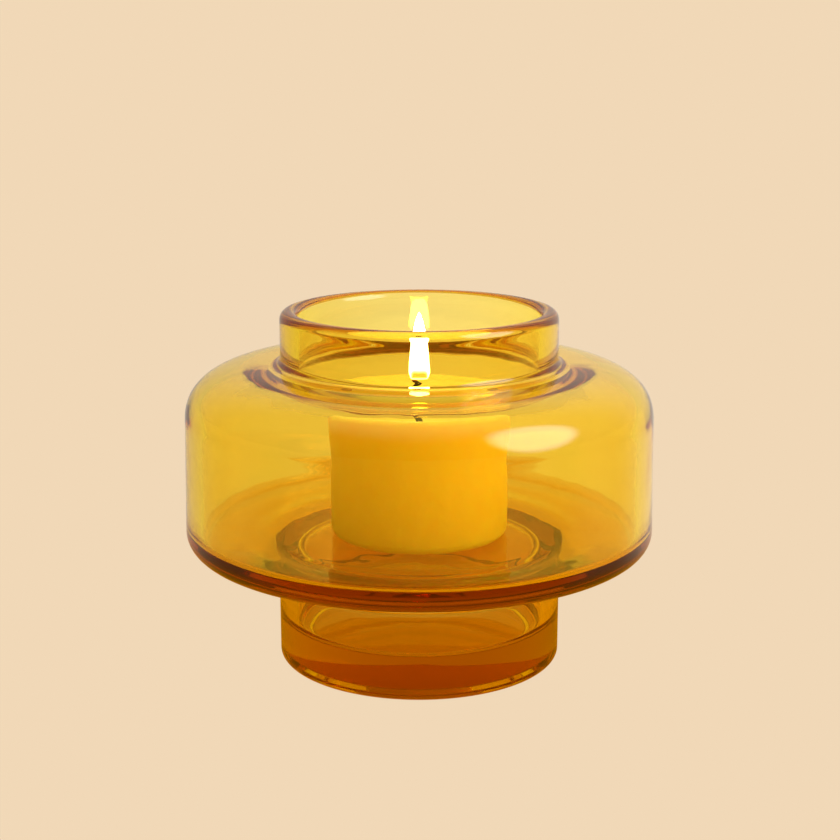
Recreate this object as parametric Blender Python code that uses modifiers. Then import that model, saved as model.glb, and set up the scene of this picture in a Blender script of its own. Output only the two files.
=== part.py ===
"""Lantern-shaped glass tealight holder with a votive candle inside, in metres, +Z up.

The origin is the middle of the foot's underside, on the axis that every turned piece shares.
Pieces: bowl (drum, shoulder, neck and floor), foot (hollow cup with a thick base),
candle_wax, wick and wick_sustainer.
"""

import math

import bpy
from mathutils import Vector

# Driving dimensions of the glass
HEIGHT = 0.0946
BODY_RADIUS = 0.0627  # at the bottom of the drum wall, its widest place
WALL_TAPER = 0.0006  # the drum is this much narrower where the shoulder begins
GLASS = 0.0045
NECK_RADIUS = 0.0368
NECK_GLASS = 0.0050
FOOT_RADIUS = 0.0380
FOOT_GLASS = 0.0048
BASE_THICKNESS = 0.0103
JOINT_Z = 0.0278  # where the bowl's underside sits on the foot
FLOOR_Z = 0.0341  # top of the bowl's floor, where the candle stands
UNDERSIDE_EDGE_Z = 0.0322  # the underside rises to this height at the drum
WALL_TOP_Z = 0.0656  # where the drum wall turns into the shoulder
SHOULDER_Z = 0.0805  # the nearly flat top of the shoulder, at the neck
SHOULDER_POWER = 2.5  # 2 would be an ellipse, more is squarer

# Rounded corners of the glass
LIP_SHARE = 0.45  # radius of the lip's two corners, as a share of the neck's glass
NECK_FILLET = 0.0028  # outside, where the neck runs into the shoulder
BORE_FILLET = 0.0020  # inside, under the neck
FLOOR_FILLET = 0.0090
DRUM_FILLET = 0.0052  # outside, under the drum wall
UNDERSIDE_LEDGE = 0.0010  # the underside goes level this far outside the foot
FOOT_FILLET = 0.0022
FOOT_INNER_FILLET = 0.0050

# Driving dimensions of the candle
CANDLE_RADIUS = 0.02375
CANDLE_HEIGHT = 0.0387
CANDLE_TOP_EDGE = 0.0018
CANDLE_BOTTOM_EDGE = 0.0024
POOL_DEPTH = 0.0012
POOL_RIM = 0.0035  # width of the ring of wax round the pool
POOL_SLOPE = 0.75  # the pool's flat middle reaches this share of its radius
POOL_BLEND = 0.0100  # radius that blends the pool's floor into its slope
WICK_RADIUS = 0.0010
WICK_SHOWING = 0.0032
WICK_BEND = 0.0016  # how far the tip leans
SUSTAINER_RADIUS = 0.0075
SUSTAINER_SHEET = 0.0005
CRIMP_HEIGHT = 0.0060
FIT = 0.0003  # gap between two pieces that touch

SEGMENTS = 64
CANDLE_SEGMENTS = 48
SUSTAINER_SEGMENTS = 32
FILLET_STEPS = 4
SHOULDER_STEPS = 10
SHARP_ANGLE = math.radians(32)


def clear_scene():
    for obj in list(bpy.data.objects):
        bpy.data.objects.remove(obj, do_unlink=True)


def material(name, colour, roughness, **inputs):
    made = bpy.data.materials.new(name)
    made.use_nodes = True
    shader = made.node_tree.nodes["Principled BSDF"]
    shader.inputs["Base Color"].default_value = (*colour, 1.0)
    shader.inputs["Roughness"].default_value = roughness
    for key, value in inputs.items():
        shader.inputs[key.replace("_", " ")].default_value = value
    return made


def fillet(before, corner, after, radius, steps=FILLET_STEPS):
    """Points of the arc that rounds a corner of a profile, all in (radius, height)."""
    corner = Vector(corner)
    to_before = (Vector(before) - corner).normalized()
    to_after = (Vector(after) - corner).normalized()
    half = to_before.angle(to_after) / 2
    reach = radius / math.tan(half)
    centre = corner + (to_before + to_after).normalized() * radius / math.sin(half)
    start = corner + to_before * reach - centre
    end = corner + to_after * reach - centre
    turn = math.pi - 2 * half
    if start.x * end.y - start.y * end.x < 0:
        turn = -turn
    points = []
    for step in range(steps + 1):
        angle = turn * step / steps
        x = start.x * math.cos(angle) - start.y * math.sin(angle)
        y = start.x * math.sin(angle) + start.y * math.cos(angle)
        points.append((centre.x + x, centre.y + y))
    return points


def rounded(corners):
    """A profile from (radius, height, fillet radius) corners."""
    points = []
    last = len(corners) - 1
    for index, (r, z, radius) in enumerate(corners):
        if radius == 0 or index in (0, last):
            points.append((r, z))
            continue
        before = corners[index - 1][:2]
        after = corners[index + 1][:2]
        points.extend(fillet(before, (r, z), after, radius))
    return points


def shoulder_arc(inner, top, outer, bottom):
    """The quarter of a squarish ellipse from (inner, top) down and out to (outer, bottom)."""
    points = []
    for step in range(SHOULDER_STEPS + 1):
        angle = math.pi / 2 * (1 - step / SHOULDER_STEPS)
        across = math.cos(angle) ** (2 / SHOULDER_POWER)
        up = math.sin(angle) ** (2 / SHOULDER_POWER)
        points.append((inner + (outer - inner) * across, bottom + (top - bottom) * up))
    return points


def turned(name, profile, segments, made_of, closed=False):
    """A piece turned about the Z axis. Its profile runs down the outer side."""
    mesh = bpy.data.meshes.new(name)
    count = len(profile)
    edges = [(i, i + 1) for i in range(count - 1)]
    if closed:
        edges.append((count - 1, 0))
    mesh.from_pydata([(r, 0.0, z) for r, z in profile], edges, [])
    obj = bpy.data.objects.new(name, mesh)
    collection.objects.link(obj)
    screw = obj.modifiers.new("turn", "SCREW")
    screw.steps = segments
    screw.render_steps = segments
    screw.use_merge_vertices = True
    screw.merge_threshold = 0.00001
    finish_turned(obj, made_of)
    return obj


def finish_turned(obj, made_of):
    obj.data.materials.append(made_of)
    bpy.context.view_layer.objects.active = obj
    obj.select_set(True)
    bpy.ops.object.modifier_apply(modifier="turn")
    obj.data.shade_smooth()
    obj.data.set_sharp_from_angle(angle=SHARP_ANGLE)
    obj.select_set(False)


def bowl_inside():
    """From the middle of the floor out to the wall, then up and in to the bore."""
    wall = BODY_RADIUS - GLASS
    wall_top = wall - WALL_TAPER
    ceiling = SHOULDER_Z - GLASS
    bore = NECK_RADIUS - NECK_GLASS
    start = bore + NECK_FILLET
    floor = rounded([(0.0, FLOOR_Z, 0), (wall, FLOOR_Z, FLOOR_FILLET), (wall_top, WALL_TOP_Z, 0)])
    ceiling_arc = shoulder_arc(start, ceiling, wall_top, WALL_TOP_Z)
    corner = rounded([(start, ceiling, 0), (bore, ceiling, BORE_FILLET), (bore, HEIGHT, 0)])
    return floor + ceiling_arc[-2::-1] + corner[1:-1]


def bowl_outside():
    """From the inner edge of the lip out, down the neck, over the shoulder and under the drum."""
    bore = NECK_RADIUS - NECK_GLASS
    lip = NECK_GLASS * LIP_SHARE
    start = NECK_RADIUS + NECK_FILLET
    wall_top = BODY_RADIUS - WALL_TAPER
    neck = rounded(
        [
            (bore, SHOULDER_Z, 0),
            (bore, HEIGHT, lip),
            (NECK_RADIUS, HEIGHT, lip),
            (NECK_RADIUS, SHOULDER_Z, NECK_FILLET),
            (start, SHOULDER_Z, 0),
        ]
    )
    shoulder = shoulder_arc(start, SHOULDER_Z, wall_top, WALL_TOP_Z)
    underside = rounded(
        [
            (wall_top, WALL_TOP_Z, 0),
            (BODY_RADIUS, UNDERSIDE_EDGE_Z, DRUM_FILLET),
            (FOOT_RADIUS + UNDERSIDE_LEDGE, JOINT_Z, 0),
            (0.0, JOINT_Z, 0),
        ]
    )
    return neck[1:-2] + shoulder + underside[1:]


def build_bowl(glass):
    return turned("bowl", bowl_inside() + bowl_outside(), SEGMENTS, glass)


def build_foot(glass):
    top = JOINT_Z - FIT
    inner = FOOT_RADIUS - FOOT_GLASS
    profile = rounded(
        [
            (0.0, BASE_THICKNESS, 0),
            (inner, BASE_THICKNESS, FOOT_INNER_FILLET),
            (inner, top, 0),
            (FOOT_RADIUS, top, 0),
            (FOOT_RADIUS, 0.0, FOOT_FILLET),
            (0.0, 0.0, 0),
        ]
    )
    return turned("foot", profile, SEGMENTS, glass)


def build_candle_wax(wax):
    """A closed loop: the pool and the sides, then the recess for the sustainer and the wick's bore."""
    bottom = FLOOR_Z + FIT
    top = bottom + CANDLE_HEIGHT
    pool_radius = CANDLE_RADIUS - POOL_RIM
    pool_z = top - POOL_DEPTH
    wick_bore = WICK_RADIUS + FIT
    crimp_bore = wick_bore + SUSTAINER_SHEET + FIT
    recess_radius = SUSTAINER_RADIUS + FIT
    recess_top = bottom + SUSTAINER_SHEET + 2 * FIT
    crimp_top = bottom + CRIMP_HEIGHT + 2 * FIT
    profile = rounded(
        [
            (wick_bore, pool_z, 0),
            (pool_radius * POOL_SLOPE, pool_z, POOL_BLEND),
            (pool_radius, top, CANDLE_TOP_EDGE),
            (CANDLE_RADIUS, top, CANDLE_TOP_EDGE),
            (CANDLE_RADIUS, bottom, CANDLE_BOTTOM_EDGE),
            (recess_radius, bottom, 0),
            (recess_radius, recess_top, 0),
            (crimp_bore, recess_top, 0),
            (crimp_bore, crimp_top, 0),
            (wick_bore, crimp_top, 0),
        ]
    )
    return turned("candle_wax", profile, CANDLE_SEGMENTS, wax, closed=True)


def build_wick_sustainer(tin):
    """A closed loop: the crimp round the wick, and the disc that the crimp stands on."""
    bottom = FLOOR_Z + 2 * FIT
    disc_top = bottom + SUSTAINER_SHEET
    crimp_top = bottom + CRIMP_HEIGHT - FIT
    bore = WICK_RADIUS + FIT
    profile = [
        (bore, crimp_top),
        (bore + SUSTAINER_SHEET, crimp_top),
        (bore + SUSTAINER_SHEET, disc_top),
        (SUSTAINER_RADIUS, disc_top),
        (SUSTAINER_RADIUS, bottom),
        (bore, bottom),
    ]
    return turned("wick_sustainer", profile, SUSTAINER_SEGMENTS, tin, closed=True)


def build_wick(cotton):
    """Straight up through the wax, then leaning to -X above the pool."""
    bottom = FLOOR_Z + 2 * FIT
    pool_z = FLOOR_Z + FIT + CANDLE_HEIGHT - POOL_DEPTH
    path = [
        (0.0, 0.0, bottom),
        (0.0, 0.0, pool_z),
        (0.0, 0.0, pool_z + WICK_SHOWING * 0.35),
        (-WICK_BEND * 0.25, 0.0, pool_z + WICK_SHOWING * 0.65),
        (-WICK_BEND, 0.0, pool_z + WICK_SHOWING),
    ]
    curve = bpy.data.curves.new("wick", "CURVE")
    curve.dimensions = "3D"
    curve.bevel_depth = WICK_RADIUS
    curve.bevel_resolution = 2
    curve.use_fill_caps = True
    spline = curve.splines.new("POLY")
    spline.points.add(len(path) - 1)
    for point, place in zip(spline.points, path):
        point.co = (*place, 1.0)
    obj = bpy.data.objects.new("wick", curve)
    collection.objects.link(obj)
    obj.data.materials.append(cotton)
    return obj


clear_scene()
collection = bpy.data.collections.new("tealight_holder")
bpy.context.scene.collection.children.link(collection)

amber_glass = material(
    "amber_glass", (0.95, 0.56, 0.06), 0.03, Transmission_Weight=1.0, IOR=1.5
)
foot_glass = material(
    "foot_glass", (0.88, 0.44, 0.04), 0.03, Transmission_Weight=1.0, IOR=1.5
)
candle_colour = material("candle_wax", (0.93, 0.80, 0.52), 0.45)
braided_cotton = material("braided_cotton", (0.10, 0.07, 0.05), 0.9)
tinned_steel = material("tinned_steel", (0.62, 0.62, 0.60), 0.35, Metallic=1.0)

build_bowl(amber_glass)
build_foot(foot_glass)
build_candle_wax(candle_colour)
build_wick(braided_cotton)
build_wick_sustainer(tinned_steel)
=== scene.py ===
"""Looks of the amber glass tealight holder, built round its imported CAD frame. Metres, +Z up."""

import math

import bmesh
import bpy
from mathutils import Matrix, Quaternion, Vector, noise


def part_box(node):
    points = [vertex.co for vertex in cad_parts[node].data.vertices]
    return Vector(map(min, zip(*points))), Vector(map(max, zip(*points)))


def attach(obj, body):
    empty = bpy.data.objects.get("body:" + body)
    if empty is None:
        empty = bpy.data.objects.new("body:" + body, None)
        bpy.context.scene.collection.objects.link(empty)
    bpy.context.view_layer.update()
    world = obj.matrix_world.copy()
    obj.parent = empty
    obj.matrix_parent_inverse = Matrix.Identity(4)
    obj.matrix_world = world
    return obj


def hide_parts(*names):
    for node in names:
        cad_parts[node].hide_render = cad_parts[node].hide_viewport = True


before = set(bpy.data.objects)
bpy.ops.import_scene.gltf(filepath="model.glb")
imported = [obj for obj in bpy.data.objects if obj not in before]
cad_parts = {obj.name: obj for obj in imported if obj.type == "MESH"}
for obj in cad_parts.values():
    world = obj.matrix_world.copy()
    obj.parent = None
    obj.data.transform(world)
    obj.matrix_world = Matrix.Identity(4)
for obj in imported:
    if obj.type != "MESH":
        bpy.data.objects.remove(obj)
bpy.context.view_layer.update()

# Sizes read from the CAD frame
BODY_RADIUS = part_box("bowl")[1].x
RIM_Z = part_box("bowl")[1].z
JOINT_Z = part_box("bowl")[0].z
FOOT_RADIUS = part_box("foot")[1].x
CANDLE_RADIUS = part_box("candle_wax")[1].x
CANDLE_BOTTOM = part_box("candle_wax")[0].z
CANDLE_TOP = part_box("candle_wax")[1].z
WICK_TIP_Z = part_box("wick")[1].z
WICK_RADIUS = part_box("wick")[1].y

# Outline of the glass
NECK_RADIUS = 0.587 * BODY_RADIUS
WALL_TOP_RADIUS = BODY_RADIUS - 0.0006
WALL_TOP_Z = 0.0656
SHOULDER_Z = 0.0805
SHOULDER_POWER = 2.5  # 2 would be an ellipse, more is squarer
UNDERSIDE_EDGE_Z = 0.0322
FLOOR_Z = CANDLE_BOTTOM - 0.0003
FLOOR_FLAT = 0.62 * BODY_RADIUS  # out to here the bowl's floor is level
FLOOR_RISE = 0.035 * BODY_RADIUS
BASE_TOP_Z = 0.165 * BODY_RADIUS
CAVITY_CEILING_Z = 0.39 * BODY_RADIUS
PUNT_RADIUS = 0.468 * BODY_RADIUS  # the shallow hollow in the underside
PUNT_DEPTH = 0.0009
PUNT_CROWN = 1.3  # its middle is this many times as deep as its edge
PUNT_SLOPE = 0.0015

# Thicknesses of the glass
WALL = 0.072 * BODY_RADIUS
NECK_WALL = 0.080 * BODY_RADIUS
FOOT_WALL = 0.077 * BODY_RADIUS
COLLAR_WALL = 0.0049  # of the shoulder, right beside the neck
SHOULDER_WALL = 0.0040
COLLAR_SHARE = 0.25  # of the shoulder's length, over which the collar thins
NECK_ROOT = 0.0004  # the bore's corner is this far below the shoulder's top

# Rounded corners of the glass
LIP_SHARE = 0.47  # radius of the lip's corners, as a share of the neck's wall
NECK_FILLET = 0.0020
BORE_FILLET = 0.0024
DRUM_FILLET = 0.0052
FLOOR_BLEND = 0.2 * BODY_RADIUS
FLOOR_FILLET = 0.04 * BODY_RADIUS
FOOT_JOINT_FILLET = 0.0012
FOOT_FILLET = 0.0018
PUNT_FILLET = 0.0010
CAVITY_TOP_FILLET = 0.0030
CAVITY_FILLET = 0.0026
SHOULDER_START = NECK_RADIUS + NECK_FILLET * 1.05
NECK_MIDDLE_Z = SHOULDER_Z + 0.0080  # where the rim's outline meets the shoulder's

SLOW_RIPPLE = 0.014
QUICK_RIPPLE = 0.0055
RIPPLE_FADE = 0.006
INNER_RIPPLE = 0.00005
OUTER_RIPPLE = 0.00002
RIPPLE_SEED = 1  # without a seed the ripples would differ on every run
# Each ring on the bowl's floor: its radius, height and half width
TOOLING_RINGS = (
    (0.600 * BODY_RADIUS, 0.00022, 0.0009),
    (0.660 * BODY_RADIUS, -0.00018, 0.0014),
    (0.735 * BODY_RADIUS, 0.00016, 0.0022),
)
GLASS_STEP = 0.0015
GLASS_SEGMENTS = 240
CANDLE_SEGMENTS = 128
WICK_TWIST = 2200.0  # radians of lay to the metre
FLAME_BASE_Z = WICK_TIP_Z + 0.0004
FLAME_HEIGHT = 0.0174
FLAME_HALF_WIDTH = 0.0028
ARC_STEPS = 10

# The candle
POOL_DEPTH = 0.0012
POOL_FLAT = CANDLE_RADIUS * 0.72
POOL_RADIUS = CANDLE_RADIUS * 0.86
POOL_BLEND = 0.0100
POOL_FILLET = 0.0024
CANDLE_TOP_FILLET = 0.0018
CANDLE_BOTTOM_FILLET = 0.0024
CANDLE_STEP = 0.0015


# ---------------------------------------------------------------- mesh helpers


def fillet(before, corner, after, radius, steps=ARC_STEPS):
    """Points of the arc that rounds a corner of a profile, all in (radius, height)."""
    corner = Vector(corner)
    to_before = (Vector(before) - corner).normalized()
    to_after = (Vector(after) - corner).normalized()
    half = to_before.angle(to_after) / 2
    centre = corner + (to_before + to_after).normalized() * radius / math.sin(half)
    reach = radius / math.tan(half)
    start = corner + to_before * reach - centre
    end = corner + to_after * reach - centre
    turn = math.pi - 2 * half
    if start.x * end.y - start.y * end.x < 0:
        turn = -turn
    points = []
    for step in range(steps + 1):
        angle = turn * step / steps
        x = start.x * math.cos(angle) - start.y * math.sin(angle)
        y = start.x * math.sin(angle) + start.y * math.cos(angle)
        points.append((centre.x + x, centre.y + y))
    return points


def rounded(corners):
    """A profile from (radius, height, fillet radius) corners."""
    points = []
    last = len(corners) - 1
    for index, (r, z, radius) in enumerate(corners):
        if radius == 0 or index in (0, last):
            points.append((r, z))
        else:
            points.extend(fillet(corners[index - 1][:2], (r, z), corners[index + 1][:2], radius))
    return points


def shoulder_arc(inner, top, outer, bottom, steps=28):
    """The quarter of a squarish ellipse from (inner, top) down and out to (outer, bottom)."""
    points = []
    for step in range(steps + 1):
        angle = math.pi / 2 * (1 - step / steps)
        across = math.cos(angle) ** (2 / SHOULDER_POWER)
        up = math.sin(angle) ** (2 / SHOULDER_POWER)
        points.append((inner + (outer - inner) * across, bottom + (top - bottom) * up))
    return points


def evened(profile, longest):
    """The profile with its long steps split, so that ripples have points to move."""
    points = [profile[0]]
    for before, after in zip(profile, profile[1:]):
        count = max(1, math.ceil(math.dist(before, after) / longest))
        for step in range(1, count + 1):
            share = step / count
            points.append(tuple(a + (b - a) * share for a, b in zip(before, after)))
    return points


def add_turned(mesh, profile, segments, move=None, outward=True):
    """Adds a turned surface to a bmesh. move(r, angle, z) gives each point's own radius and height."""
    rings = []
    for r, z in profile:
        if r < 1e-7:
            rings.append([mesh.verts.new((0.0, 0.0, z))])
            continue
        ring = []
        for k in range(segments):
            angle = 2 * math.pi * k / segments
            at_r, at_z = move(r, angle, z) if move else (r, z)
            ring.append(mesh.verts.new((at_r * math.cos(angle), at_r * math.sin(angle), at_z)))
        rings.append(ring)
    for upper, lower in zip(rings, rings[1:]):
        for k in range(segments):
            n = (k + 1) % segments
            if len(upper) == 1:
                corners = (upper[0], lower[k], lower[n])
            elif len(lower) == 1:
                corners = (upper[k], lower[0], upper[n])
            else:
                corners = (upper[k], lower[k], lower[n], upper[n])
            face = mesh.faces.new(corners if outward else corners[::-1])
            face.smooth = True


def finished(name, mesh, surface, body):
    """The bmesh as an object of its own, with its material, on its body."""
    data = bpy.data.meshes.new(name)
    mesh.to_mesh(data)
    mesh.free()
    obj = bpy.data.objects.new(name, data)
    bpy.context.scene.collection.objects.link(obj)
    data.materials.append(surface)
    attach(obj, body)
    return obj


# ---------------------------------------------------------------- materials

GLASS_STREAKS = 60.0  # to the metre
GLASS_STREAK_DEPTH = 0.00002
ABSORBED_PER_METRE = (13.0, 33.0, 300.0)  # red, green and blue
ABSORPTION_DENSITY = 320.0  # any number above the largest of those
TRAPPED_LIGHT = (1.0, 0.50, 0.04)
TRAPPED_LIGHT_PER_METRE = 0.7
WAX_RELIEF = 0.0003
WAX_CLOUD_SHIFT = 0.003
FLAME_BODY = (1.0, 0.86, 0.62)
FLAME_FOOT = (1.0, 0.62, 0.20)
FLAME_BRIGHTNESS = 30.0
FLAME_LAMP_WATTS = 0.004
DEEPEST_FLAME = 4.5  # glass surfaces beyond which its glare is left out
MIRRORED_FLAME = 0.22  # share of that brightness which the glass mirrors


def put(tree, socket, value):
    """Sets a node's input to a number or links it to another node's output."""
    if isinstance(value, bpy.types.NodeSocket):
        tree.links.new(value, socket)
    elif isinstance(value, tuple) and len(value) == 3 and socket.type == "RGBA":
        socket.default_value = (*value, 1.0)
    else:
        socket.default_value = value


def maths(tree, operation, a, b=0.0, clamp=False):
    node = tree.nodes.new("ShaderNodeMath")
    node.operation = operation
    node.use_clamp = clamp
    put(tree, node.inputs[0], a)
    put(tree, node.inputs[1], b)
    return node.outputs[0]


def ramp(tree, value, low, high, at_low, at_high):
    """A smooth step of value from at_low to at_high as it goes from low to high."""
    node = tree.nodes.new("ShaderNodeMapRange")
    node.interpolation_type = "SMOOTHSTEP"
    for name, given in (("Value", value), ("From Min", low), ("From Max", high)):
        put(tree, node.inputs[name], given)
    put(tree, node.inputs["To Min"], at_low)
    put(tree, node.inputs["To Max"], at_high)
    return node.outputs[0]


def blend(tree, share, a, b):
    node = tree.nodes.new("ShaderNodeMix")
    node.data_type = "RGBA"
    put(tree, node.inputs["Factor"], share)
    put(tree, node.inputs["A"], a)
    put(tree, node.inputs["B"], b)
    return node.outputs["Result"]


def scaled(tree, colour, strength):
    node = tree.nodes.new("ShaderNodeVectorMath")
    node.operation = "SCALE"
    put(tree, node.inputs[0], colour)
    put(tree, node.inputs["Scale"], strength)
    return node.outputs[0]


def node_material(name):
    made = bpy.data.materials.new(name)
    made.use_nodes = True
    made.node_tree.nodes.clear()
    output = made.node_tree.nodes.new("ShaderNodeOutputMaterial")
    return made, made.node_tree, output


def components(tree, vector):
    node = tree.nodes.new("ShaderNodeSeparateXYZ")
    tree.links.new(vector, node.inputs[0])
    return node.outputs


def mirrored_ray(tree, path):
    """1 for a ray that a surface has mirrored, otherwise 0."""
    return maths(tree, "MULTIPLY", path.outputs["Is Reflection Ray"], path.outputs["Is Glossy Ray"])


def noise_of(tree, scale, detail=3.0, roughness=0.5, stretch=(1.0, 1.0, 1.0)):
    """Noise from 0 to 1 over the piece's own space, with scale features to the metre."""
    place = tree.nodes.new("ShaderNodeTexCoord")
    pulled = tree.nodes.new("ShaderNodeVectorMath")
    pulled.operation = "MULTIPLY"
    put(tree, pulled.inputs[0], place.outputs["Object"])
    put(tree, pulled.inputs[1], stretch)
    node = tree.nodes.new("ShaderNodeTexNoise")
    put(tree, node.inputs["Vector"], pulled.outputs[0])
    put(tree, node.inputs["Scale"], scale)
    put(tree, node.inputs["Detail"], detail)
    put(tree, node.inputs["Roughness"], roughness)
    return node.outputs["Fac"]


def bumped(tree, shader, height, depth):
    """Raises the surface by up to depth metres where height is 1."""
    node = tree.nodes.new("ShaderNodeBump")
    put(tree, node.inputs["Height"], height)
    put(tree, node.inputs["Distance"], depth)
    put(tree, shader.inputs["Normal"], node.outputs[0])


def amber_glass():
    """Clear glass whose colour comes from the depth of glass that light crosses, with faint drawn-out
    streaks. A weak light of its own stands in for light trapped in the thick edges."""
    made, tree, output = node_material("amber_glass")
    glass = tree.nodes.new("ShaderNodeBsdfPrincipled")
    streak = noise_of(tree, GLASS_STREAKS, 2.0, 0.5, (1.0, 1.0, 3.5))
    put(tree, glass.inputs["Base Color"], blend(tree, streak, (1.0, 0.86, 0.83), (1.0, 0.90, 0.87)))
    bumped(tree, glass, streak, GLASS_STREAK_DEPTH)
    glass.inputs["Transmission Weight"].default_value = 1.0
    glass.inputs["IOR"].default_value = 1.5
    glass.inputs["Roughness"].default_value = 0.0
    tree.links.new(glass.outputs[0], output.inputs["Surface"])
    depth = tree.nodes.new("ShaderNodeVolumeAbsorption")
    kept = (1 - absorbed / ABSORPTION_DENSITY for absorbed in ABSORBED_PER_METRE)
    depth.inputs["Color"].default_value = (*kept, 1.0)
    depth.inputs["Density"].default_value = ABSORPTION_DENSITY
    spread = tree.nodes.new("ShaderNodeEmission")
    put(tree, spread.inputs["Color"], TRAPPED_LIGHT)
    put(tree, spread.inputs["Strength"], TRAPPED_LIGHT_PER_METRE)
    both = tree.nodes.new("ShaderNodeAddShader")
    tree.links.new(depth.outputs[0], both.inputs[0])
    tree.links.new(spread.outputs[0], both.inputs[1])
    tree.links.new(both.outputs[0], output.inputs["Volume"])
    return made


def wax():
    """Honey-ivory wax, cloudy and faintly pitted. Its own glow, strongest at the top, stands in for
    the flame's light spreading through it."""
    made, tree, output = node_material("candle_wax")
    shader = tree.nodes.new("ShaderNodeBsdfPrincipled")
    cloud = noise_of(tree, 130.0, 4.0, 0.55)
    pits = noise_of(tree, 1400.0, 3.0, 0.6)
    put(tree, shader.inputs["Base Color"], blend(tree, cloud, (0.93, 0.64, 0.06), (0.94, 0.72, 0.15)))
    put(tree, shader.inputs["Roughness"], ramp(tree, cloud, 0.3, 0.7, 0.36, 0.50))
    bumped(tree, shader, maths(tree, "ADD", cloud, maths(tree, "MULTIPLY", pits, 0.08)), WAX_RELIEF)
    shader.inputs["Subsurface Weight"].default_value = 1.0
    shader.inputs["Subsurface Radius"].default_value = (1.0, 0.6, 0.3)
    shader.inputs["Subsurface Scale"].default_value = 0.008
    place = tree.nodes.new("ShaderNodeTexCoord")
    place_in = components(tree, place.outputs["Object"])
    height = maths(tree, "ADD", place_in["Z"], maths(tree, "MULTIPLY", cloud, WAX_CLOUD_SHIFT))
    near_top = ramp(tree, height, CANDLE_TOP - 0.007, CANDLE_TOP, 0.0, 1.0)
    lit_colour = blend(tree, near_top, (1.0, 0.57, 0.0), (1.0, 0.78, 0.32))
    put(tree, shader.inputs["Emission Color"], lit_colour)
    lit = ramp(tree, height, CANDLE_BOTTOM, CANDLE_TOP, 0.18, 0.36)
    # painted light: the glow is a little weaker on the -X side and stronger on the +X side, as if lit from
    # the right
    across = ramp(tree, place_in["X"], -CANDLE_RADIUS, CANDLE_RADIUS, 0.9, 1.1)
    put(tree, shader.inputs["Emission Strength"], maths(tree, "MULTIPLY", lit, across))
    tree.links.new(shader.outputs[0], output.inputs["Surface"])
    return made


def charred_cotton():
    """Braided cotton, burnt black where it shows and white below, with a spark of ember at the tip."""
    made, tree, output = node_material("charred_cotton")
    shader = tree.nodes.new("ShaderNodeBsdfPrincipled")
    fibre = noise_of(tree, 2600.0, 3.0, 0.6, (1.0, 1.0, 0.3))
    place = tree.nodes.new("ShaderNodeTexCoord")
    place_in = components(tree, place.outputs["Object"])
    burnt = ramp(tree, place_in["Z"], CANDLE_TOP - 0.0024, CANDLE_TOP - 0.0012, 0.0, 1.0)
    raw = blend(tree, fibre, (0.52, 0.46, 0.36), (0.78, 0.72, 0.60))
    char = blend(tree, fibre, (0.012, 0.009, 0.007), (0.07, 0.045, 0.03))
    put(tree, shader.inputs["Base Color"], blend(tree, burnt, raw, char))
    put(tree, shader.inputs["Roughness"], ramp(tree, fibre, 0.2, 0.8, 0.75, 0.95))
    bumped(tree, shader, fibre, 0.0001)
    shader.inputs["Emission Color"].default_value = (1.0, 0.22, 0.02, 1.0)
    ember = ramp(tree, place_in["Z"], WICK_TIP_Z - 0.0005, WICK_TIP_Z, 0.0, 1.0)
    put(tree, shader.inputs["Emission Strength"], maths(tree, "MULTIPLY", ember, fibre))
    tree.links.new(shader.outputs[0], output.inputs["Surface"])
    return made


def tinned_steel():
    """Rolled tin-plated sheet: long fine scratches one way, cloudier patches where the tin pooled."""
    made, tree, output = node_material("tinned_steel")
    shader = tree.nodes.new("ShaderNodeBsdfPrincipled")
    scratch = noise_of(tree, 2200.0, 4.0, 0.7, (1.0, 0.06, 1.0))
    pooled = noise_of(tree, 320.0, 2.0, 0.5)
    put(tree, shader.inputs["Base Color"], blend(tree, pooled, (0.56, 0.56, 0.55), (0.70, 0.70, 0.67)))
    shader.inputs["Metallic"].default_value = 1.0
    scratched = ramp(tree, scratch, 0.3, 0.7, 0.20, 0.38)
    cloudy = maths(tree, "MULTIPLY", pooled, 0.12)
    put(tree, shader.inputs["Roughness"], maths(tree, "ADD", scratched, cloudy))
    bumped(tree, shader, scratch, 0.00004)
    tree.links.new(shader.outputs[0], output.inputs["Surface"])
    return made


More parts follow.
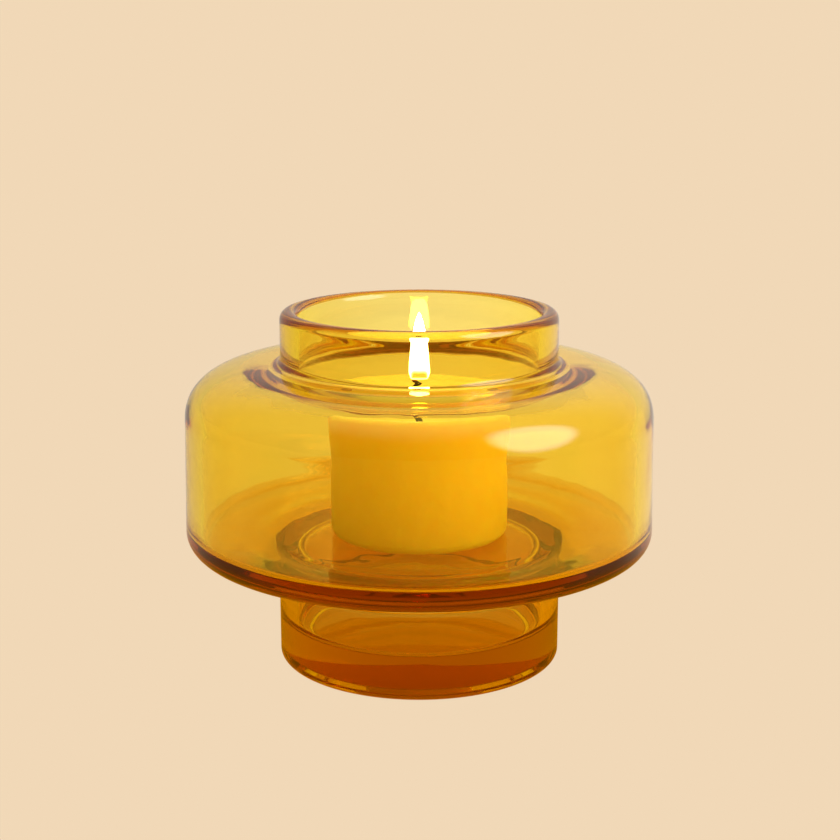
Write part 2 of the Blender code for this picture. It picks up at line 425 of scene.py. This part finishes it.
def flame_glow():
    """White-hot above a clear foot, through which the wick shows. It glows for the eye and lights
    nothing, and past DEEPEST_FLAME glass surfaces it isn't drawn."""
    made, tree, output = node_material("flame_glow")
    made.cycles.emission_sampling = "NONE"
    place = tree.nodes.new("ShaderNodeTexCoord")
    up = components(tree, place.outputs["Generated"])["Z"]
    path = tree.nodes.new("ShaderNodeLightPath")
    facing = tree.nodes.new("ShaderNodeLayerWeight")
    facing.inputs["Blend"].default_value = 0.35
    rim = ramp(tree, facing.outputs["Facing"], 0.05, 0.8, 0.0, 0.22)
    seen = maths(tree, "LESS_THAN", path.outputs["Diffuse Depth"], 0.5)
    mirror = mirrored_ray(tree, path)
    direct = maths(tree, "LESS_THAN", path.outputs["Transmission Depth"], DEEPEST_FLAME)
    seen = maths(tree, "MULTIPLY", seen, direct)
    seen = maths(tree, "MULTIPLY", seen, ramp(tree, mirror, 0.0, 1.0, 1.0, MIRRORED_FLAME))
    light = tree.nodes.new("ShaderNodeEmission")
    hot = blend(tree, ramp(tree, up, 0.0, 0.22, 0.0, 1.0), FLAME_FOOT, FLAME_BODY)
    put(tree, light.inputs["Color"], hot)
    put(tree, light.inputs["Strength"], maths(tree, "MULTIPLY", seen, FLAME_BRIGHTNESS))
    clear = tree.nodes.new("ShaderNodeBsdfTransparent")
    mixed = tree.nodes.new("ShaderNodeMixShader")
    from_foot = ramp(tree, maths(tree, "ADD", up, rim), 0.10, 0.24, 0.0, 1.0)
    edge = ramp(tree, facing.outputs["Facing"], 0.55, 1.0, 1.0, 0.1)
    solid = maths(tree, "MULTIPLY", from_foot, edge)
    put(tree, mixed.inputs["Fac"], solid)
    tree.links.new(clear.outputs[0], mixed.inputs[1])
    tree.links.new(light.outputs[0], mixed.inputs[2])
    tree.links.new(mixed.outputs[0], output.inputs["Surface"])
    return made


# ---------------------------------------------------------------- pieces


def neck_and_shoulder():
    """The outside from the top of the neck's fillet to the top of the drum wall."""
    neck = rounded(
        [
            (NECK_RADIUS, NECK_MIDDLE_Z, 0),
            (NECK_RADIUS, SHOULDER_Z, NECK_FILLET),
            (SHOULDER_START, SHOULDER_Z, 0),
        ]
    )
    return neck[:-1] + shoulder_arc(SHOULDER_START, SHOULDER_Z, WALL_TOP_RADIUS, WALL_TOP_Z)


def offset_inward(profile, thickness_at):
    """The profile moved into the glass along its own normals. thickness_at takes a share of its length."""
    total = sum(math.dist(a, b) for a, b in zip(profile, profile[1:]))
    moved = []
    run = 0.0
    for index, point in enumerate(profile):
        before = Vector(profile[max(0, index - 1)])
        after = Vector(profile[min(len(profile) - 1, index + 1)])
        along = (after - before).normalized()
        if index:
            run += math.dist(profile[index - 1], point)
        thickness = thickness_at(run / total)
        moved.append((point[0] + along.y * thickness, point[1] - along.x * thickness))
    return moved


def outer_profile():
    """The glass's outside, from the inside edge of the lip down to the middle of its underside."""
    lip = NECK_WALL * LIP_SHARE
    rim = rounded(
        [
            (NECK_RADIUS - NECK_WALL, RIM_Z - NECK_WALL, 0),
            (NECK_RADIUS - NECK_WALL, RIM_Z, lip),
            (NECK_RADIUS, RIM_Z, lip),
            (NECK_RADIUS, NECK_MIDDLE_Z, 0),
        ]
    )
    lower = rounded(
        [
            (WALL_TOP_RADIUS, WALL_TOP_Z, 0),
            (BODY_RADIUS, UNDERSIDE_EDGE_Z, DRUM_FILLET),
            (FOOT_RADIUS, JOINT_Z, FOOT_JOINT_FILLET),
            (FOOT_RADIUS, 0.0, FOOT_FILLET),
            (PUNT_RADIUS + PUNT_SLOPE, 0.0, PUNT_FILLET),
            (PUNT_RADIUS, PUNT_DEPTH, PUNT_FILLET),
            (0.0, PUNT_DEPTH * PUNT_CROWN, 0),
        ]
    )
    return rim[:-1] + neck_and_shoulder() + lower[1:]


def inner_profile():
    """The bowl's inside, from the middle of its floor up to the lip."""
    def thickness(share):
        near_neck = max(0.0, 1 - share / COLLAR_SHARE)
        even = SHOULDER_WALL + (WALL - SHOULDER_WALL) * share**2
        return even + (COLLAR_WALL - SHOULDER_WALL) * near_neck

    outside = shoulder_arc(SHOULDER_START, SHOULDER_Z, WALL_TOP_RADIUS, WALL_TOP_Z)
    upper = offset_inward(outside, thickness)
    bore = NECK_RADIUS - NECK_WALL
    root = (bore, SHOULDER_Z - NECK_ROOT, BORE_FILLET)
    corner = rounded([(bore, RIM_Z - NECK_WALL, 0), root, (*upper[0], 0)])
    inner_wall = BODY_RADIUS - WALL
    floor = rounded(
        [
            (0.0, FLOOR_Z, 0),
            (FLOOR_FLAT, FLOOR_Z, FLOOR_BLEND),
            (inner_wall, FLOOR_Z + FLOOR_RISE, FLOOR_FILLET),
            (upper[-1][0], WALL_TOP_Z, 0),
        ]
    )
    return floor[:-1] + upper[::-1] + corner[-2::-1]


def cavity_profile():
    """The sealed hollow of the foot, from the middle of its ceiling down to the middle of its floor."""
    radius = FOOT_RADIUS - FOOT_WALL
    return rounded(
        [
            (0.0, CAVITY_CEILING_Z, 0),
            (radius, CAVITY_CEILING_Z, CAVITY_TOP_FILLET),
            (radius, BASE_TOP_Z, CAVITY_FILLET),
            (0.0, BASE_TOP_Z, 0),
        ]
    )


def hand_made(depth, top):
    """A move for add_turned: slow ripples of about depth that fade out at the base and towards top."""
    def move(r, angle, z):
        place = Vector((r * math.cos(angle), r * math.sin(angle), z))
        fade = min(1.0, max(0.0, z / RIPPLE_FADE)) * min(1.0, max(0.0, (top - z) / RIPPLE_FADE))
        slow = noise.noise_vector(place / SLOW_RIPPLE)
        quick = noise.noise_vector(place / QUICK_RIPPLE)
        wave = (slow + quick * 0.4) * depth * fade
        return r + wave.x, z + wave.z

    return move


def bowl_inside(r, angle, z):
    """The inside's ripples, and the faint rings on its floor."""
    at_r, at_z = hand_made(INNER_RIPPLE, RIM_Z - NECK_WALL)(r, angle, z)
    on_floor = min(1.0, max(0.0, (FLOOR_Z + RIPPLE_FADE - z) / RIPPLE_FADE))
    compass = Vector((math.cos(angle), math.sin(angle), 0.0))
    for ring_radius, height, width in TOOLING_RINGS:
        centre = ring_radius * (1 + 0.012 * noise.noise(compass * 2.5 + Vector((0, 0, ring_radius * 1000))))
        swell = 0.7 + 0.6 * noise.noise(compass * 1.7 - Vector((0, 0, ring_radius * 1000)))
        at_z += height * swell * on_floor * math.exp(-(((r - centre) / width) ** 2))
    return at_r, at_z


def build_glass(surface):
    """Bowl and foot are one body of glass, so their fused joint shows no skin inside it."""
    mesh = bmesh.new()
    lip_z = RIM_Z - NECK_WALL
    add_turned(mesh, evened(inner_profile(), GLASS_STEP), GLASS_SEGMENTS, bowl_inside)
    add_turned(mesh, evened(outer_profile(), GLASS_STEP), GLASS_SEGMENTS, hand_made(OUTER_RIPPLE, lip_z))
    bmesh.ops.remove_doubles(mesh, verts=mesh.verts, dist=1e-6)
    cavity = evened(cavity_profile(), GLASS_STEP)
    add_turned(mesh, cavity, GLASS_SEGMENTS, hand_made(OUTER_RIPPLE, lip_z), outward=False)
    obj = finished("holder_glass", mesh, surface, "holder")
    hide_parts("bowl", "foot")
    return obj


def build_candle(surface):
    mesh = bmesh.new()
    pool_z = CANDLE_TOP - POOL_DEPTH
    profile = rounded(
        [
            (0.0, pool_z, 0),
            (POOL_FLAT, pool_z, POOL_BLEND),
            (POOL_RADIUS, CANDLE_TOP, POOL_FILLET),
            (CANDLE_RADIUS, CANDLE_TOP, CANDLE_TOP_FILLET),
            (CANDLE_RADIUS, CANDLE_BOTTOM, CANDLE_BOTTOM_FILLET),
            (0.0, CANDLE_BOTTOM, 0),
        ]
    )
    add_turned(mesh, evened(profile, CANDLE_STEP), CANDLE_SEGMENTS)
    obj = finished("candle_body", mesh, surface, "candle")
    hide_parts("candle_wax")
    return obj


def build_wick(surface):
    """Three plies laid round each other, leaning over and thinning to a ragged tip."""
    mesh = bmesh.new()
    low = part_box("wick")[0]
    stem = WICK_TIP_Z - low.z
    lean_from = CANDLE_TOP - POOL_DEPTH
    lean = -low.x - 0.0008
    steps = 90
    profile = [(0.0, WICK_TIP_Z)]
    for step in range(steps + 1):
        height = WICK_TIP_Z - stem * step / steps
        above = max(0.0, (height - lean_from) / (WICK_TIP_Z - lean_from))
        profile.append((WICK_RADIUS * (1 - 0.35 * above**4), height))
    profile.append((0.0, low.z))

    def plies(r, angle, z):
        relief = abs(math.sin(1.5 * (angle + z * WICK_TWIST)))
        ragged = noise.noise(Vector((math.cos(angle), math.sin(angle), z * 1500)))
        return r * (0.86 + 0.14 * relief + 0.05 * ragged), z

    add_turned(mesh, profile, 36, plies)
    for vert in mesh.verts:
        above = max(0.0, (vert.co.z - lean_from) / (WICK_TIP_Z - lean_from))
        vert.co.x -= lean * above**2
    obj = finished("wick_braid", mesh, surface, "candle")
    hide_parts("wick")
    return obj


def flame_profile():
    """Widest just above its open foot, then drawn in to a point."""
    steps = 40
    profile = []
    for step in range(steps + 1):
        up = 1 - step / steps
        body = (1 - up) ** 0.80 * (1 + 0.75 * up)
        foot = min(1.0, 0.80 + 2.2 * up)
        profile.append((FLAME_HALF_WIDTH * body * foot, FLAME_BASE_Z + FLAME_HEIGHT * up))
    profile.append((0.0, FLAME_BASE_Z))
    return profile


def build_flame(surface):
    """A still flame with a very faint lamp inside."""
    mesh = bmesh.new()
    add_turned(mesh, flame_profile(), 48)
    flame = finished("flame", mesh, surface, "candle")
    flame.visible_shadow = False
    lamp = bpy.data.lights.new("flame_lamp", "POINT")
    lamp.energy = FLAME_LAMP_WATTS
    lamp.color = (1.0, 0.72, 0.36)
    lamp.shadow_soft_size = FLAME_HALF_WIDTH
    held = bpy.data.objects.new("flame_lamp", lamp)
    bpy.context.scene.collection.objects.link(held)
    held.location = (0.0, 0.0, FLAME_BASE_Z + FLAME_HEIGHT / 2)
    held.parent = flame
    held.visible_glossy = False
    held.visible_camera = False
    held.visible_transmission = False
    return flame


# ---------------------------------------------------------------- stage


FRONT_LIGHT = 0.30
KEY_PLACE = (0.68, -0.34, 0.60)
KEY_AIM = (0.0, 0.0, 0.07)
KEY_SIZE = (0.80, 1.15)
KEY_POWER = 10.5
KEY_COLOUR = (0.93, 0.96, 1.0)
KEY_ROLL = math.radians(-20)
FLOOR_REACH = 4.0
FLOOR_DROP = 0.0002  # the studio floor is this far below the foot
VIEW_UNIT = 0.0625  # the camera's place is given in these
CAMERA_SIDE = 0.0002
CAMERA_BACK = 6.62
CAMERA_UP = 2.577
CAMERA_TILT = 0.2292
LENS = 68.1
CREAM = (0.879, 0.687, 0.474)
STUDIO_WHITE = (1.0, 0.97, 0.93)
ROOM_GREY = (0.86, 0.74, 0.60)
SIDE_BROWN = (0.50, 0.30, 0.16)
TOP_LIGHT = (1.0, 0.96, 0.90)
# painted reflection: amber light that the floor near the holder shows to mirrored rays
PAINTED_AMBER_REFLECTION = (0.6, 0.24, 0.0)
PAPER = (0.92, 0.90, 0.87)
# painted shade: the holder's amber shadow, painted into the paper near it
PAINTED_AMBER_SHADE = (0.76, 0.40, 0.01)
GLOW = (0.33, 0.16, 0.0)


def mirrored_room(tree, right, back):
    """What the glass mirrors: nothing in front, a warm dim room at the sides, the backdrop behind."""
    colour = blend(tree, ramp(tree, back, 0.25, 0.85, 0.0, 1.0), SIDE_BROWN, ROOM_GREY)
    strength = ramp(tree, back, -0.40, 0.10, 0.0, 1.0)
    return scaled(tree, colour, maths(tree, "MULTIPLY", strength, ramp(tree, right, -0.8, 0.6, 0.55, 1.0)))


def build_world():
    """Flat cream to the camera. The glass sees through to a backdrop that is white behind and dim in
    front, and mirrors a dim room; matt surfaces are lit from overhead."""
    world = bpy.data.worlds.new("studio")
    bpy.context.scene.world = world
    world.use_nodes = True
    tree = world.node_tree
    place = tree.nodes.new("ShaderNodeTexCoord")
    right, back, up = components(tree, place.outputs["Generated"])
    path = tree.nodes.new("ShaderNodeLightPath")

    behind = ramp(tree, back, -0.7, 0.75, FRONT_LIGHT, 1.0)
    behind = maths(tree, "ADD", behind, maths(tree, "MULTIPLY", right, 0.12))
    through = scaled(tree, STUDIO_WHITE, maths(tree, "MULTIPLY", behind, 0.93))
    mirrored = mirrored_room(tree, right, back)
    above = ramp(tree, up, 0.45, 0.9, 0.04, 1.75)
    overhead = scaled(tree, TOP_LIGHT, maths(tree, "ADD", above, ramp(tree, right, -0.2, 1.0, 0.0, 0.8)))

    mirror = mirrored_ray(tree, path)
    colour = blend(tree, mirror, through, mirrored)
    scattered = maths(tree, "GREATER_THAN", path.outputs["Diffuse Depth"], 0.5)
    colour = blend(tree, scattered, colour, overhead)
    colour = blend(tree, path.outputs["Is Camera Ray"], colour, CREAM)
    tree.links.new(colour, tree.nodes["Background"].inputs["Color"])


def build_floor():
    """Flat cream to the camera. To the glass it is white paper with painted amber shade and a painted amber
    glow near the holder, which stand in for the shadow and the light that the holder casts."""
    made, tree, output = node_material("studio_floor")
    path = tree.nodes.new("ShaderNodeLightPath")
    mirror = mirrored_ray(tree, path)
    hidden = maths(tree, "ADD", mirror, path.outputs["Is Camera Ray"])
    place = tree.nodes.new("ShaderNodeNewGeometry")
    radius = tree.nodes.new("ShaderNodeVectorMath")
    radius.operation = "LENGTH"
    tree.links.new(place.outputs["Position"], radius.inputs[0])
    away = ramp(tree, radius.outputs["Value"], 1.1 * BODY_RADIUS, 3.0 * BODY_RADIUS, 0.0, 1.0)
    # painted amber shade near the holder, fading to plain paper further out
    paper = blend(tree, away, PAINTED_AMBER_SHADE, PAPER)
    lit = tree.nodes.new("ShaderNodeBsdfDiffuse")
    side = components(tree, place.outputs["Position"])["X"]
    # painted light: the paper is a little darker towards -X and brighter towards +X, as if lit from the
    # right
    across = ramp(tree, side, -1.5 * BODY_RADIUS, 1.5 * BODY_RADIUS, 0.90, 1.02)
    paper = scaled(tree, paper, across)
    put(tree, lit.inputs["Color"], blend(tree, hidden, paper, (0.0, 0.0, 0.0)))
    towards = components(tree, place.outputs["Incoming"])
    right = maths(tree, "MULTIPLY", towards["X"], -1.0)
    back = maths(tree, "MULTIPLY", towards["Y"], -1.0)
    # painted reflection: amber near the holder, the dim room further out
    reflected = blend(tree, away, PAINTED_AMBER_REFLECTION, mirrored_room(tree, right, back))
    near = ramp(tree, radius.outputs["Value"], 0.7 * BODY_RADIUS, 1.3 * BODY_RADIUS, 1.0, 0.0)
    seen = tree.nodes.new("ShaderNodeEmission")
    flat = blend(tree, mirror, CREAM, reflected)
    put(tree, seen.inputs["Color"], blend(tree, hidden, scaled(tree, GLOW, near), flat))
    both = tree.nodes.new("ShaderNodeAddShader")
    tree.links.new(lit.outputs[0], both.inputs[0])
    tree.links.new(seen.outputs[0], both.inputs[1])
    tree.links.new(both.outputs[0], output.inputs["Surface"])
    mesh = bmesh.new()
    far = FLOOR_REACH
    corners = [(-far, -far), (far, -far), (far, far), (-far, far)]
    mesh.faces.new([mesh.verts.new((x, y, -FLOOR_DROP)) for x, y in corners])
    data = bpy.data.meshes.new("floor")
    mesh.to_mesh(data)
    mesh.free()
    data.materials.append(made)
    floor = bpy.data.objects.new("floor", data)
    bpy.context.scene.collection.objects.link(floor)


def softbox(name, place, aim, size, power, colour=(1.0, 1.0, 1.0), feather=0.35, roll=0.0):
    """An oval light whose brightness falls off towards its edge. feather is the share that fades."""
    light = bpy.data.lights.new(name, "AREA")
    light.shape = "ELLIPSE"
    light.size, light.size_y = size
    light.energy = power
    light.color = colour
    light.use_nodes = True
    tree = light.node_tree
    place_on = tree.nodes.new("ShaderNodeNewGeometry")
    centred = tree.nodes.new("ShaderNodeVectorMath")
    centred.operation = "SUBTRACT"
    put(tree, centred.inputs[0], place_on.outputs["Parametric"])
    put(tree, centred.inputs[1], (0.5, 0.5, 0.0))
    radius = tree.nodes.new("ShaderNodeVectorMath")
    radius.operation = "LENGTH"
    put(tree, radius.inputs[0], centred.outputs[0])
    fade = ramp(tree, radius.outputs["Value"], 0.5 * (1 - feather), 0.5, 1.0, 0.0)
    put(tree, tree.nodes["Emission"].inputs["Strength"], fade)
    obj = bpy.data.objects.new(name, light)
    bpy.context.scene.collection.objects.link(obj)
    obj.location = place
    obj.visible_diffuse = False
    facing = (Vector(aim) - Vector(place)).to_track_quat("-Z", "Y")
    obj.rotation_euler = (facing @ Quaternion((0.0, 0.0, 1.0), roll)).to_euler()
    return obj


def build_camera():
    lens = bpy.data.cameras.new("camera")
    camera = bpy.data.objects.new("camera", lens)
    bpy.context.scene.collection.objects.link(camera)
    bpy.context.scene.camera = camera
    lens.sensor_width = 36.0
    lens.lens = LENS
    lens.clip_start = 0.01
    camera.location = (CAMERA_SIDE, -CAMERA_BACK * VIEW_UNIT, CAMERA_UP * VIEW_UNIT)
    camera.rotation_euler = (math.pi / 2 - CAMERA_TILT, 0.0, 0.0)


def set_render():
    scene = bpy.context.scene
    scene.view_settings.view_transform = "Standard"
    scene.cycles.max_bounces = 64
    scene.cycles.transmission_bounces = 48
    scene.cycles.glossy_bounces = 48
    scene.cycles.diffuse_bounces = 4
    scene.cycles.transparent_max_bounces = 16
    scene.cycles.sample_clamp_indirect = 12.0
    scene.cycles.use_denoising = True


noise.seed_set(RIPPLE_SEED)
build_glass(amber_glass())
build_candle(wax())
build_wick(charred_cotton())
build_flame(flame_glow())
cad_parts["wick_sustainer"].data.materials.clear()
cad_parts["wick_sustainer"].data.materials.append(tinned_steel())
build_world()
build_floor()
softbox("key_softbox", KEY_PLACE, KEY_AIM, KEY_SIZE, KEY_POWER, KEY_COLOUR, roll=KEY_ROLL)
build_camera()
set_render()
